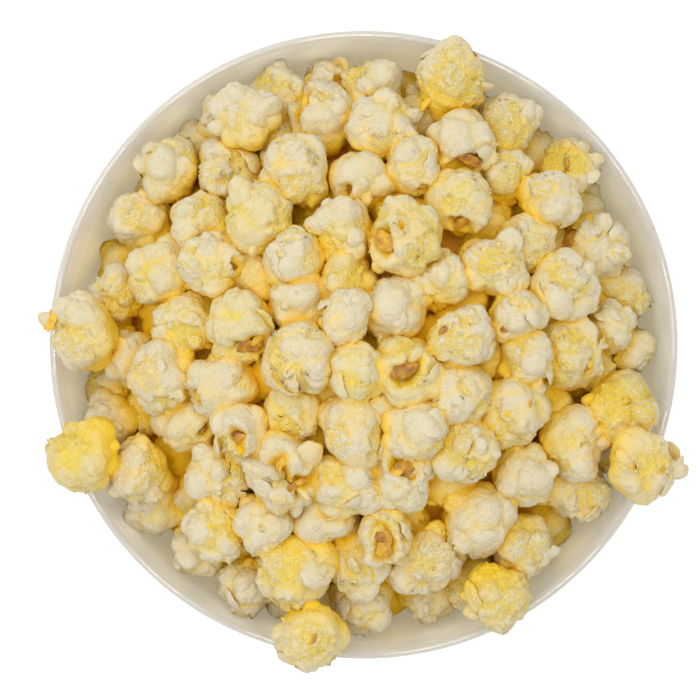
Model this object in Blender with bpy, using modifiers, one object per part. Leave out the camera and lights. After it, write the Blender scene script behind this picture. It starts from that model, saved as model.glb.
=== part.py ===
"""A round white bucket heaped with popped corn.

The bucket is one turned, glazed wall on a low foot ring. The popcorn is one heap: a core that
fills the bucket, with the kernels of its outer layers fused on. Metres, +Z up, with the origin
on the table under the middle of the bucket.
"""

import math

import bmesh
import bpy
import numpy as np
from mathutils import Vector

MM = 0.001

# Bucket: the wall leans out by its taper, so the rim is the widest place
RIM_RADIUS = 125 * MM
BUCKET_HEIGHT = 150 * MM
WALL = 3.7 * MM
WALL_TAPER = 0.25
RIM_ROUNDING = 1.3 * MM
OUTER_CORNER = 24 * MM
INNER_CORNER = 30 * MM
FOOT_HEIGHT = 3 * MM
FOOT_OUTER = 80 * MM
FOOT_INNER = 75 * MM
FOOT_CHAMFER = 1 * MM
FLOOR_TOP = 8 * MM
RIM_POINTS = 3
CORNER_POINTS = 5
BUCKET_STEPS = 52

# Heap: its crest is measured up from the rim, at the middle and against the wall
CREST_MIDDLE = 44 * MM
CREST_AT_WALL = -14 * MM
CREST_POWER = 2.6
CORE_DEPTH = 25 * MM
CORE_SHOULDER = 12 * MM
CORE_GAP = 1 * MM
CORE_STEPS = 32
CORE_RINGS = 7
HEAP_FACES = 9500
KERNEL_GAP = 0.5 * MM

# Kernels: lobes swell from their dents, and neighbours nest into each other's dents
LOOSE_KERNELS = 150
SMALLEST_KERNEL = 21 * MM
LARGEST_KERNEL = 29 * MM
LOBES = 7
DENT = 0.92
LOBE = 1.07
NESTING = 0.92
HIGHEST_CREST_OFFSET = 2 * MM
LOWEST_CREST_OFFSET = -10 * MM
SHALLOWEST = 12 * MM
LAYERS_DEPTH = 50 * MM
FUSED_DEPTH = 31 * MM
PACKING_ROUNDS = 300
PACKING_STEP = 0.6
RISE = 0.6 * MM
PILE_SEED = 11

# The kernels that lean on the wall or ride on the rim, and those that stand out on the crest:
# bearing in degrees, distance from the axis, height of the middle over the rim, diameter (mm)
WALL_KERNELS = (
    (71.5, 108.5, 9, 28.4),
    (88, 101.5, -6, 25),
    (109, 104.5, -10, 25.6),
    (118, 99.5, 8, 24.8),
    (57, 103.5, -4, 26.4),
    (40.5, 107, -4, 22.6),
    (22.5, 100, -3, 27),
    (10.5, 104.5, -12, 24),
    (-1, 108, -9, 18.5),
    (-14.3, 104.5, 3, 29),
    (-24, 117.5, 14, 27.2),
    (-34.5, 102.5, -7, 26.2),
    (-51.7, 101, -2, 27),
    (-62.3, 110.5, 10, 26),
    (-75.5, 104, -16, 22.6),
    (-90.5, 103, -8, 25),
    (-100.3, 115.5, 14, 27),
    (-106.7, 92.5, 14, 28),
    (-116, 106, -8, 23.4),
    (-128.5, 105.5, -10, 23),
    (-128.5, 92.5, 10, 24),
    (-150.8, 101.5, 4, 24.6),
    (-158, 117.5, 13.5, 26.4),
    (178, 109, 10, 28.6),
    (-176.3, 90.5, -2, 24.6),
    (168.5, 99.5, -4, 21.4),
    (151.2, 101.5, -9, 25.6),
    (138.3, 103, -2, 26),
)
CREST_KERNELS = (
    (69, 43.5, 28, 29),
    (-168.5, 25, 31, 28.8),
    (48.5, 17, 23, 28),
    (-96, 33, 26, 29),
    (172.8, 47.5, 20, 27),
    (3, 37, 28, 25.4),
    (-121.3, 58.5, 21, 28.4),
    (111, 72.5, 17, 28),
    (15.7, 79, 13, 28),
    (-24, 62, 16, 28),
    (-75.3, 52.5, 19, 27),
    (63.7, 87, 12, 26.6),
    (-46, 56, 23, 25),
    (130, 62.6, 19, 28),
    (143.5, 80, 8, 24.2),
    (160.6, 83.4, 7, 27.4),
    (100.9, 44, 22, 25.4),
    (30.7, 57, 22, 25),
    (38, 91.5, 10, 24.6),
    (-2.4, 79.4, 8, 27.6),
    (-162.6, 56.5, 14, 28),
    (-156, 74, 4, 27),
    (-138.5, 75.5, 9, 25.4),
    (-102.3, 67, 10, 28),
    (-74.1, 87, 6, 27),
    (-39.7, 80.5, 7, 25.4),
    (173.6, 70, 11, 24),
)


def crest(distance):
    """Height over the rim that the tops of the kernels reach at this distance from the axis."""
    share = np.clip(distance / (RIM_RADIUS - WALL), 0, 1)
    return CREST_AT_WALL + (CREST_MIDDLE - CREST_AT_WALL) * (1 - share**CREST_POWER)


def away_from_wall(distance, height):
    """Distance to the middle of the wall's section, and the direction straight away from it."""
    top = np.array([RIM_RADIUS - WALL / 2, -WALL / 2])
    down = np.array([-WALL_TAPER, -1.0])
    offset = np.stack([distance, height], axis=1) - top
    along = np.clip(offset @ down / (down @ down), 0, BUCKET_HEIGHT)
    apart = offset - along[:, None] * down
    length = np.linalg.norm(apart, axis=1)
    return length, apart / length[:, None]


def packed_kernels():
    """Centres, over the rim's plane, and radii of all kernels: the placed ones, and loose ones
    that rise under the crest and push each other apart until they fill the room that is left."""
    draw = np.random.RandomState(PILE_SEED)
    placed = np.array(WALL_KERNELS + CREST_KERNELS)
    bearing = np.radians(placed[:, 0])
    held = np.stack(
        [placed[:, 1] * np.cos(bearing), placed[:, 1] * np.sin(bearing), placed[:, 2]], axis=1
    )
    turn = draw.uniform(0, 2 * math.pi, LOOSE_KERNELS)
    reach = (RIM_RADIUS - WALL - SHALLOWEST) * np.sqrt(draw.uniform(0, 1, LOOSE_KERNELS))
    sink = draw.uniform(SHALLOWEST, LAYERS_DEPTH, LOOSE_KERNELS)
    loose = np.stack([reach * np.cos(turn), reach * np.sin(turn), crest(reach) - sink], axis=1)
    centres = np.concatenate([held * MM, loose])
    radii = np.concatenate(
        [placed[:, 3] * MM / 2, draw.uniform(SMALLEST_KERNEL, LARGEST_KERNEL, LOOSE_KERNELS) / 2]
    )
    offset = draw.uniform(LOWEST_CREST_OFFSET, HIGHEST_CREST_OFFSET, len(radii))
    free = np.arange(len(radii)) >= len(placed)
    touching = NESTING * (radii[:, None] + radii[None, :])
    for _ in range(PACKING_ROUNDS):
        apart = centres[:, None, :] - centres[None, :, :]
        length = np.linalg.norm(apart, axis=2)
        np.fill_diagonal(length, 1)
        overlap = np.maximum(touching - length, 0)
        np.fill_diagonal(overlap, 0)
        share = np.where(free[None, :], 0.5, 1.0)
        push = ((overlap * share / length)[:, :, None] * apart).sum(axis=1)
        push[:, 2] += RISE
        centres[free] += PACKING_STEP * push[free]
        flat = np.linalg.norm(centres[:, :2], axis=1)
        ceiling = crest(flat) - radii + offset
        floor = crest(flat) - LAYERS_DEPTH
        centres[free, 2] = np.clip(centres[:, 2], floor, ceiling)[free]
        length, direction = away_from_wall(flat, centres[:, 2])
        short = np.maximum(radii * LOBE + WALL / 2 + KERNEL_GAP - length, 0) * free
        outward = centres[:, :2] / flat[:, None]
        centres[:, :2] += outward * (short * direction[:, 0])[:, None]
        centres[:, 2] += short * direction[:, 1]
    return centres, radii


def arc(centre, radius, start, end, count):
    """Points on an arc in the profile's plane, from one angle to another, in degrees."""
    angles = [math.radians(start + (end - start) * i / count) for i in range(count + 1)]
    return [(centre[0] + radius * math.cos(a), centre[1] + radius * math.sin(a)) for a in angles]


def corner(mouth_radius, floor, radius, count):
    """The arc from the tapered wall, whose mouth has this radius, down to a level floor."""
    slant = math.hypot(1, WALL_TAPER)
    height = floor + radius
    middle = mouth_radius - WALL_TAPER * (BUCKET_HEIGHT - height) - radius * slant
    return arc((middle, height), radius, -math.degrees(math.atan(WALL_TAPER)), -90, count)


def rim_arcs(count):
    """The two rounded edges of the rim, from the inner wall over the top to the outer one."""
    lean = math.degrees(math.atan(WALL_TAPER))
    height = BUCKET_HEIGHT - RIM_ROUNDING
    across = RIM_ROUNDING * math.hypot(1, WALL_TAPER)
    outer_face = RIM_RADIUS - WALL_TAPER * RIM_ROUNDING
    inner_face = outer_face - WALL
    inner = arc((inner_face + across, height), RIM_ROUNDING, 180 - lean, 90, count)
    outer = arc((outer_face - across, height), RIM_ROUNDING, 90, -lean, count)
    return inner, outer


def turned(name, profile, steps, collection):
    """A solid of revolution from a profile that starts and ends on the axis, outer side first."""
    mesh = bpy.data.meshes.new(name)
    edges = [(i, i + 1) for i in range(len(profile) - 1)]
    mesh.from_pydata([(r, 0, z) for r, z in profile], edges, [])
    shape = bpy.data.objects.new(name, mesh)
    collection.objects.link(shape)
    screw = shape.modifiers.new("Turn", "SCREW")
    screw.steps = screw.render_steps = steps
    screw.use_merge_vertices = True
    screw.merge_threshold = 0.00001
    return shape


def bucket(collection):
    """The glazed bucket: rim, tapered wall, rounded lower corner and foot ring in one piece."""
    inner_rim, outer_rim = rim_arcs(RIM_POINTS)
    outside = outer_rim + corner(RIM_RADIUS, FOOT_HEIGHT, OUTER_CORNER, CORNER_POINTS)
    foot = [
        (FOOT_OUTER, FOOT_CHAMFER),
        (FOOT_OUTER - FOOT_CHAMFER, 0),
        (FOOT_INNER + FOOT_CHAMFER, 0),
        (FOOT_INNER, FOOT_CHAMFER),
        (FOOT_INNER - FOOT_CHAMFER, FOOT_HEIGHT),
        (0, FOOT_HEIGHT),
    ]
    inside = corner(RIM_RADIUS - WALL, FLOOR_TOP, INNER_CORNER, CORNER_POINTS)
    profile = [(0, FLOOR_TOP)] + inside[::-1] + inner_rim + outside + foot
    shape = turned("bucket", profile, BUCKET_STEPS, collection)
    shape.data.materials.append(finish("white_glaze", (0.86, 0.84, 0.79, 1), 0.15))
    return shape


def heap_core(collection):
    """What fills the bucket under the kernels that show: a low dome down to the bucket's floor."""
    shoulder = RIM_RADIUS - WALL - CORE_SHOULDER
    reach = [shoulder * i / CORE_RINGS for i in range(CORE_RINGS + 1)]
    top = [(r, crest(r) + BUCKET_HEIGHT - CORE_DEPTH) for r in reach]
    mouth = RIM_RADIUS - WALL - CORE_GAP * math.hypot(1, WALL_TAPER)
    side = BUCKET_HEIGHT + CREST_AT_WALL - CORE_DEPTH
    edge = (mouth - WALL_TAPER * (BUCKET_HEIGHT - side), side)
    low = corner(mouth, FLOOR_TOP + CORE_GAP, INNER_CORNER, CORNER_POINTS)
    profile = top + [edge] + low + [(0, FLOOR_TOP + CORE_GAP)]
    return turned("heap_core", profile, CORE_STEPS, collection)


def lumpy_kernel(name, centre, radius, draw, collection):
    """One popped kernel: a ball with a few swollen lobes and the dents between them."""
    lobes = draw.normal(size=(LOBES, 3))
    lobes /= np.linalg.norm(lobes, axis=1)[:, None]
    form = bmesh.new()
    bmesh.ops.create_icosphere(form, subdivisions=2, radius=1)
    for vertex in form.verts:
        nearest = max(float(lobe @ vertex.co) for lobe in lobes)
        swell = DENT + (LOBE - DENT) * max(0.0, nearest) ** 3
        vertex.co = centre + vertex.co * (radius * swell)
    mesh = bpy.data.meshes.new(name)
    form.to_mesh(mesh)
    form.free()
    kernel = bpy.data.objects.new(name, mesh)
    collection.objects.link(kernel)
    return kernel


def largest_body(mesh):
    """Drops every loose scrap and the skin of every sealed hollow, which fills it."""
    form = bmesh.new()
    form.from_mesh(mesh)
    waiting = set(form.verts)
    bodies = []
    while waiting:
        body = {waiting.pop()}
        front = list(body)
        while front:
            vertex = front.pop()
            near = {edge.other_vert(vertex) for edge in vertex.link_edges} & waiting
            waiting -= near
            body |= near
            front.extend(near)
        bodies.append(body)
    bodies.sort(key=len)
    scraps = [vertex for body in bodies[:-1] for vertex in body]
    bmesh.ops.delete(form, geom=scraps, context="VERTS")
    form.to_mesh(mesh)
    form.free()


def evaluated_mesh(shape):
    """The mesh of this object with its modifiers applied."""
    graph = bpy.context.evaluated_depsgraph_get()
    return bpy.data.meshes.new_from_object(shape.evaluated_get(graph))


def popcorn_heap(collection):
    """The core with the kernels of the outer layers fused on, as one solid."""
    pieces = bpy.data.collections.new("kernels")
    bpy.context.scene.collection.children.link(pieces)
    draw = np.random.RandomState(PILE_SEED + 1)
    centres, radii = packed_kernels()
    deep = crest(np.linalg.norm(centres[:, :2], axis=1)) - centres[:, 2]
    for index, (centre, radius) in enumerate(zip(centres, radii)):
        if deep[index] < FUSED_DEPTH:
            place = Vector(centre) + Vector((0, 0, BUCKET_HEIGHT))
            lumpy_kernel(f"kernel_{index}", place, radius, draw, pieces)
    core = heap_core(collection)
    union = core.modifiers.new("Fuse", "BOOLEAN")
    union.operation = "UNION"
    union.operand_type = "COLLECTION"
    union.collection = pieces
    union.solver = "MANIFOLD"
    core.data = evaluated_mesh(core)
    core.modifiers.clear()
    core.data.calc_loop_triangles()
    fewer = core.modifiers.new("Fewer", "DECIMATE")
    fewer.ratio = HEAP_FACES / len(core.data.loop_triangles)
    fused = evaluated_mesh(core)
    for helper in [core] + list(pieces.objects):
        bpy.data.objects.remove(helper)
    bpy.data.collections.remove(pieces)
    largest_body(fused)
    heap = bpy.data.objects.new("popcorn_heap", fused)
    collection.objects.link(heap)
    heap.data.materials.append(finish("popcorn", (0.86, 0.76, 0.5, 1), 0.7))
    return heap


def finish(name, colour, roughness):
    """A plain material with the part's colour and roughness."""
    material = bpy.data.materials.new(name)
    material.use_nodes = True
    shader = material.node_tree.nodes["Principled BSDF"]
    shader.inputs["Base Color"].default_value = colour
    shader.inputs["Roughness"].default_value = roughness
    shader.inputs["Metallic"].default_value = 0
    return material


def build():
    for old in list(bpy.data.objects):
        bpy.data.objects.remove(old)
    parts = bpy.data.collections.new("popcorn_bucket")
    bpy.context.scene.collection.children.link(parts)
    shape = bucket(parts)
    shape.data.shade_smooth()
    popcorn_heap(parts)


build()
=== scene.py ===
import itertools
import math

import bmesh
import bpy
import numpy as np
from mathutils import Matrix, Vector


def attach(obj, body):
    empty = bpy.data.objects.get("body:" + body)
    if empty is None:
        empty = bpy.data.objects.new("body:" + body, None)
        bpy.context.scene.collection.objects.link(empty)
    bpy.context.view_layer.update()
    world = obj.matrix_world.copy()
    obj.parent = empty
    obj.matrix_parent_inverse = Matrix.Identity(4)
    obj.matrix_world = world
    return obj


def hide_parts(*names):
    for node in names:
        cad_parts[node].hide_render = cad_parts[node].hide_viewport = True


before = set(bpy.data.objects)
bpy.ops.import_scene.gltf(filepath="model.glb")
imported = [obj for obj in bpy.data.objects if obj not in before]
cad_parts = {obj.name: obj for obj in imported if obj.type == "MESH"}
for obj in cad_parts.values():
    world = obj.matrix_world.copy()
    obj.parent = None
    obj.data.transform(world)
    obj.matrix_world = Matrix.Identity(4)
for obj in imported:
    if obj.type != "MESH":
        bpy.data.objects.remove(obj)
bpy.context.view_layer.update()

# The bucket: one thrown wall of white stoneware on a low foot ring, steep and open, with a
# rounded rim. It was dipped in a clear glaze, which is glossy and carries faint specks. Light and
# shade are painted into the glaze's colour: warm light reflected from the popcorn down the inner
# wall, grey shade on and under the rim, and a darker outer face.
MM = 0.001
RIM_RADIUS = 125 * MM
BUCKET_HEIGHT = 150 * MM
WALL = 3.7 * MM
WALL_TAPER = 0.25
RIM_ROUNDING = 1.3 * MM
OUTER_CORNER = 24 * MM
INNER_CORNER = 30 * MM
FOOT_HEIGHT = 3 * MM
FOOT_OUTER = 80 * MM
FOOT_INNER = 75 * MM
FOOT_CHAMFER = 1 * MM
FLOOR_TOP = 8 * MM
BUCKET_STEPS = 192


class Socket:
    """A socket of a material's nodes. Arithmetic on it adds Math nodes."""

    def __init__(self, tree, socket):
        self.tree = tree
        self.socket = socket

    def node(self, kind, settings, inputs, output=0):
        """Adds any node: its settings first, then the values or links of its sockets."""
        made = self.tree.nodes.new(kind)
        for name, value in settings.items():
            if name == "stops":
                for place, colour in value[1:-1]:
                    made.color_ramp.elements.new(place)
                for stop, (place, colour) in zip(made.color_ramp.elements, value):
                    stop.position, stop.color = place, colour
            else:
                setattr(made, name, value)
        for name, value in inputs.items():
            if isinstance(value, Socket):
                self.tree.links.new(value.socket, made.inputs[name])
            else:
                made.inputs[name].default_value = value
        return Socket(self.tree, made.outputs[output])

    def other(self, output):
        """Another output of the same node."""
        return Socket(self.tree, self.socket.node.outputs[output])

    def maths(self, operation, first, second=0.0):
        return self.node("ShaderNodeMath", {"operation": operation}, {0: first, 1: second})

    def __add__(self, other):
        return self.maths("ADD", self, other)

    def __sub__(self, other):
        return self.maths("SUBTRACT", self, other)

    def __rsub__(self, other):
        return self.maths("SUBTRACT", other, self)

    def __mul__(self, other):
        return self.maths("MULTIPLY", self, other)

    def __abs__(self):
        return self.maths("ABSOLUTE", self)

    __radd__ = __add__
    __rmul__ = __mul__

    def eased(self, low, high):
        """0 below low, 1 above high, and a soft step between them."""
        limits = {"Value": self, "From Min": low, "From Max": high}
        return self.node("ShaderNodeMapRange", {"interpolation_type": "SMOOTHSTEP"}, limits)

    def blend(self, first, second):
        """The first colour where this is 0, and the second where it is 1."""
        sockets = {"Factor": self, "A": first, "B": second}
        return self.node("ShaderNodeMix", {"data_type": "RGBA"}, sockets, "Result")

    def moved(self, shift, by):
        """This vector plus another one times a number."""
        scaled = self.node("ShaderNodeVectorMath", {"operation": "SCALE"}, {0: shift, "Scale": by})
        return self.node("ShaderNodeVectorMath", {"operation": "ADD"}, {0: self, 1: scaled})


def surface(name, constants):
    """A new material: its own shader with what is the same all over, and the object's space."""
    made = bpy.data.materials.new(name)
    made.use_nodes = True
    shader = made.node_tree.nodes["Principled BSDF"]
    for socket, value in constants.items():
        shader.inputs[socket].default_value = value
    space = made.node_tree.nodes.new("ShaderNodeTexCoord").outputs["Object"]
    return made, Socket(made.node_tree, space)


def finish(material, looks):
    """Links what changes over the surface to the material's shader."""
    shader = material.node_tree.nodes["Principled BSDF"]
    for name, value in looks.items():
        material.node_tree.links.new(value.socket, shader.inputs[name])


def arc(centre, radius, start, end, count):
    """Points on an arc in the profile's plane, from one angle to another, in degrees."""
    angles = [math.radians(start + (end - start) * i / count) for i in range(count + 1)]
    return [(centre[0] + radius * math.cos(a), centre[1] + radius * math.sin(a)) for a in angles]


def corner(mouth_radius, floor, radius, count):
    """The arc from the tapered wall, whose mouth has this radius, down to a level floor."""
    height = floor + radius
    slant = math.hypot(1, WALL_TAPER)
    middle = mouth_radius - WALL_TAPER * (BUCKET_HEIGHT - height) - radius * slant
    return arc((middle, height), radius, -math.degrees(math.atan(WALL_TAPER)), -90, count)


def straight(start, end, count):
    """Points between two others, without them, so that a long wall has rings to shade."""
    return [
        (start[0] + (end[0] - start[0]) * i / count, start[1] + (end[1] - start[1]) * i / count)
        for i in range(1, count)
    ]


def turned(profile, steps):
    """A closed form of revolution from a profile that starts and ends on the axis."""
    form = bmesh.new()
    points = [form.verts.new((radius, 0, height)) for radius, height in profile]
    line = [form.edges.new(pair) for pair in zip(points, points[1:])]
    bmesh.ops.spin(
        form, geom=points + line, axis=(0, 0, 1), cent=(0, 0, 0), angle=2 * math.pi,
        steps=steps, use_merge=True,
    )
    bmesh.ops.remove_doubles(form, verts=form.verts, dist=0.00001)
    bmesh.ops.recalc_face_normals(form, faces=form.faces)
    return form


def piece(name, form, material, smooth=True):
    """A new object from a bmesh, with its material."""
    mesh = bpy.data.meshes.new(name)
    form.to_mesh(mesh)
    form.free()
    if smooth:
        mesh.shade_smooth()
    mesh.materials.append(material)
    made = bpy.data.objects.new(name, mesh)
    bpy.context.scene.collection.objects.link(made)
    return made


lean = math.degrees(math.atan(WALL_TAPER))
rim_level = BUCKET_HEIGHT - RIM_ROUNDING
rim_across = RIM_ROUNDING * math.hypot(1, WALL_TAPER)
outer_face = RIM_RADIUS - WALL_TAPER * RIM_ROUNDING
inner_face = outer_face - WALL
inner_rim = arc((inner_face + rim_across, rim_level), RIM_ROUNDING, 180 - lean, 90, 8)
outer_rim = arc((outer_face - rim_across, rim_level), RIM_ROUNDING, 90, -lean, 8)
inside = corner(RIM_RADIUS - WALL, FLOOR_TOP, INNER_CORNER, 12)[::-1]
outside = corner(RIM_RADIUS, FOOT_HEIGHT, OUTER_CORNER, 12)
foot = [
    (FOOT_OUTER, FOOT_CHAMFER),
    (FOOT_OUTER - 0.3 * FOOT_CHAMFER, 0.3 * FOOT_CHAMFER),
    (FOOT_OUTER - FOOT_CHAMFER, 0),
    (FOOT_INNER + FOOT_CHAMFER, 0),
    (FOOT_INNER + 0.3 * FOOT_CHAMFER, 0.3 * FOOT_CHAMFER),
    (FOOT_INNER, FOOT_CHAMFER),
    (FOOT_INNER - FOOT_CHAMFER, FOOT_HEIGHT),
    (0, FOOT_HEIGHT),
]
bucket_profile = (
    [(0, FLOOR_TOP), (FOOT_OUTER / 2, FLOOR_TOP)] + inside
    + straight(inside[-1], inner_rim[0], 10) + inner_rim + outer_rim
    + straight(outer_rim[-1], outside[0], 10) + outside + foot
)

glaze, place = surface(
    "white_glaze",
    {
        "Subsurface Weight": 1.0, "Subsurface Radius": (1.0, 0.85, 0.65),
        "Subsurface Scale": 25 * MM, "Coat Weight": 1.0, "Coat Roughness": 0.03,
    },
)
cloud = place.node("ShaderNodeTexNoise", {}, {"Vector": place, "Scale": 14, "Detail": 3})
speck = place.node("ShaderNodeTexNoise", {}, {"Vector": place, "Scale": 900, "Detail": 1})
height = place.node("ShaderNodeSeparateXYZ", {}, {"Vector": place}, "Z")
tint = cloud.eased(0.35, 0.7).blend((0.97, 0.92, 0.85, 1), (0.965, 0.895, 0.81, 1))
# Painted reflected light: the inner wall is painted warmer further down, for the light that the
# popcorn throws onto it.
painted_popcorn_bounce = height.eased(BUCKET_HEIGHT - 2 * MM, BUCKET_HEIGHT - 16 * MM)
tint = painted_popcorn_bounce.blend(tint, (0.99, 0.865, 0.64, 1))
level = place.node("ShaderNodeVectorMath", {"operation": "MULTIPLY"}, {0: place, 1: (1, 1, 0)})
radial = place.node("ShaderNodeVectorMath", {"operation": "LENGTH"}, {0: level}, "Value")
middle_of_wall = height * WALL_TAPER + (RIM_RADIUS - WALL / 2 - WALL_TAPER * BUCKET_HEIGHT)
# Painted shade: the outer face gets a darker, warmer copy of the same glaze than the inner wall.
painted_shade_outside = (radial - middle_of_wall).eased(0, 0.5 * MM)
tint = painted_shade_outside.blend(tint, (0.80, 0.70, 0.58, 1))
# Painted shade: the glaze is painted greyer just below the rim and darker grey on its top.
painted_shade_under_rim = height.eased(BUCKET_HEIGHT - 12 * MM, BUCKET_HEIGHT - 3 * MM)
tint = painted_shade_under_rim.blend(tint, (0.66, 0.65, 0.62, 1))
painted_shade_on_rim = height.eased(BUCKET_HEIGHT - 1.5 * MM, BUCKET_HEIGHT)
tint = painted_shade_on_rim.blend(tint, (0.43, 0.42, 0.395, 1))
tint = (speck.eased(0.74, 0.8) * 0.35).blend(tint, (0.5, 0.42, 0.32, 1))
PINK_SPECK = (115 * MM, 46 * MM, BUCKET_HEIGHT)
from_speck = place.node(
    "ShaderNodeVectorMath", {"operation": "DISTANCE"}, {0: place, 1: PINK_SPECK}, "Value"
)
tint = (1 - from_speck.eased(0.3 * MM, 0.8 * MM)).blend(tint, (0.75, 0.18, 0.2, 1))
waves = place.node("ShaderNodeTexNoise", {}, {"Vector": place, "Scale": 55, "Detail": 2})
ripple = place.node(
    "ShaderNodeBump", {}, {"Strength": 0.12, "Distance": 0.4 * MM, "Height": waves}
)
gloss = cloud * 0.08 + 0.1
finish(glaze, {"Base Color": tint, "Roughness": gloss, "Normal": ripple})

bucket = piece("bucket_glazed", turned(bucket_profile, BUCKET_STEPS), glaze)
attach(bucket, "root")
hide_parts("bucket")

# The kernels' places: popped corn tipped into the bucket, heaped over its rim. The first ones
# lean on the wall or ride on the rim, or stand out on the crest; loose ones settled between
# them. Each is a foam of starch that swelled to a ball of about 25 mm.
CREST_MIDDLE = 44 * MM
CREST_AT_WALL = -14 * MM
CREST_POWER = 2.6
LOOSE_KERNELS = 150
SMALLEST_KERNEL = 21 * MM
LARGEST_KERNEL = 29 * MM
LOBE = 1.07
KERNEL_GAP = 0.5 * MM
NESTING = 0.92
HIGHEST_CREST_OFFSET = 2 * MM
LOWEST_CREST_OFFSET = -10 * MM
SHALLOWEST = 12 * MM
LAYERS_DEPTH = 50 * MM
PACKING_ROUNDS = 300
PACKING_STEP = 0.6
RISE = 0.6 * MM
PILE_SEED = 11

# Bearing in degrees, distance from the axis, height of the middle over the rim, diameter (mm)
WALL_KERNELS = (
    (71.5, 108.5, 9, 28.4),
    (88, 101.5, -6, 25),
    (109, 104.5, -10, 25.6),
    (118, 99.5, 8, 24.8),
    (57, 103.5, -4, 26.4),
    (40.5, 107, -4, 22.6),
    (22.5, 100, -3, 27),
    (10.5, 104.5, -12, 24),
    (-1, 108, -9, 18.5),
    (-14.3, 104.5, 3, 29),
    (-24, 117.5, 14, 27.2),
    (-34.5, 102.5, -7, 26.2),
    (-51.7, 101, -2, 27),
    (-62.3, 110.5, 10, 26),
    (-75.5, 104, -16, 22.6),
    (-90.5, 103, -8, 25),
    (-100.3, 115.5, 14, 27),
    (-106.7, 92.5, 14, 28),
    (-116, 106, -8, 23.4),
    (-128.5, 105.5, -10, 23),
    (-128.5, 92.5, 10, 24),
    (-150.8, 101.5, 4, 24.6),
    (-158, 117.5, 13.5, 26.4),
    (178, 109, 10, 28.6),
    (-176.3, 90.5, -2, 24.6),
    (168.5, 99.5, -4, 21.4),
    (151.2, 101.5, -9, 25.6),
    (138.3, 103, -2, 26),
)
CREST_KERNELS = (
    (69, 43.5, 28, 29),
    (-168.5, 25, 31, 28.8),
    (48.5, 17, 23, 28),
    (-96, 33, 26, 29),
    (172.8, 47.5, 20, 27),
    (3, 37, 28, 25.4),
    (-121.3, 58.5, 21, 28.4),
    (111, 72.5, 17, 28),
    (15.7, 79, 13, 28),
    (-24, 62, 16, 28),
    (-75.3, 52.5, 19, 27),
    (63.7, 87, 12, 26.6),
    (-46, 56, 23, 25),
    (130, 62.6, 19, 28),
    (143.5, 80, 8, 24.2),
    (160.6, 83.4, 7, 27.4),
    (100.9, 44, 22, 25.4),
    (30.7, 57, 22, 25),
    (38, 91.5, 10, 24.6),
    (-2.4, 79.4, 8, 27.6),
    (-162.6, 56.5, 14, 28),
    (-156, 74, 4, 27),
    (-138.5, 75.5, 9, 25.4),
    (-102.3, 67, 10, 28),
    (-74.1, 87, 6, 27),
    (-39.7, 80.5, 7, 25.4),
    (173.6, 70, 11, 24),
)


def crest(distance):
    """Height over the rim that the tops of the kernels reach at this distance from the axis."""
    share = np.clip(distance / (RIM_RADIUS - WALL), 0, 1)
    return CREST_AT_WALL + (CREST_MIDDLE - CREST_AT_WALL) * (1 - share**CREST_POWER)


def away_from_wall(distance, height):
    """Distance to the middle of the wall's section, and the direction straight away from it."""
    top = np.array([RIM_RADIUS - WALL / 2, -WALL / 2])
    down = np.array([-WALL_TAPER, -1.0])
    offset = np.stack([distance, height], axis=1) - top
    along = np.clip(offset @ down / (down @ down), 0, BUCKET_HEIGHT)
    apart = offset - along[:, None] * down
    length = np.linalg.norm(apart, axis=1)
    return length, apart / length[:, None]


def packed_kernels():
    """Centres and radii of all kernels: the placed ones, and loose ones that rise under the
    crest and push each other apart until they fill the room that is left."""
    draw = np.random.RandomState(PILE_SEED)
    placed = np.array(WALL_KERNELS + CREST_KERNELS)
    bearing = np.radians(placed[:, 0])
    held = np.stack(
        [placed[:, 1] * np.cos(bearing), placed[:, 1] * np.sin(bearing), placed[:, 2]], axis=1
    )
    turn = draw.uniform(0, 2 * math.pi, LOOSE_KERNELS)
    reach = (RIM_RADIUS - WALL - SHALLOWEST) * np.sqrt(draw.uniform(0, 1, LOOSE_KERNELS))
    sink = draw.uniform(SHALLOWEST, LAYERS_DEPTH, LOOSE_KERNELS)
    loose = np.stack([reach * np.cos(turn), reach * np.sin(turn), crest(reach) - sink], axis=1)
    centres = np.concatenate([held * MM, loose])
    radii = np.concatenate(
        [placed[:, 3] * MM / 2, draw.uniform(SMALLEST_KERNEL, LARGEST_KERNEL, LOOSE_KERNELS) / 2]
    )
    offset = draw.uniform(LOWEST_CREST_OFFSET, HIGHEST_CREST_OFFSET, len(radii))
    free = np.arange(len(radii)) >= len(placed)
    touching = NESTING * (radii[:, None] + radii[None, :])
    for _ in range(PACKING_ROUNDS):
        apart = centres[:, None, :] - centres[None, :, :]
        length = np.linalg.norm(apart, axis=2)
        np.fill_diagonal(length, 1)
        overlap = np.maximum(touching - length, 0)
        np.fill_diagonal(overlap, 0)
        share = np.where(free[None, :], 0.5, 1.0)
        push = ((overlap * share / length)[:, :, None] * apart).sum(axis=1)
        push[:, 2] += RISE
        centres[free] += PACKING_STEP * push[free]
        flat = np.linalg.norm(centres[:, :2], axis=1)
        ceiling = crest(flat) - radii + offset
        floor = crest(flat) - LAYERS_DEPTH
        centres[free, 2] = np.clip(centres[:, 2], floor, ceiling)[free]
        length, direction = away_from_wall(flat, centres[:, 2])
        short = np.maximum(radii * LOBE + WALL / 2 + KERNEL_GAP - length, 0) * free
        outward = centres[:, :2] / flat[:, None]
        centres[:, :2] += outward * (short * direction[:, 0])[:, None]
        centres[:, 2] += short * direction[:, 1]
    return centres + np.array([0, 0, BUCKET_HEIGHT]), radii


centres, radii = packed_kernels()
depths = crest(np.linalg.norm(centres[:, :2], axis=1)) + BUCKET_HEIGHT - centres[:, 2]

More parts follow.
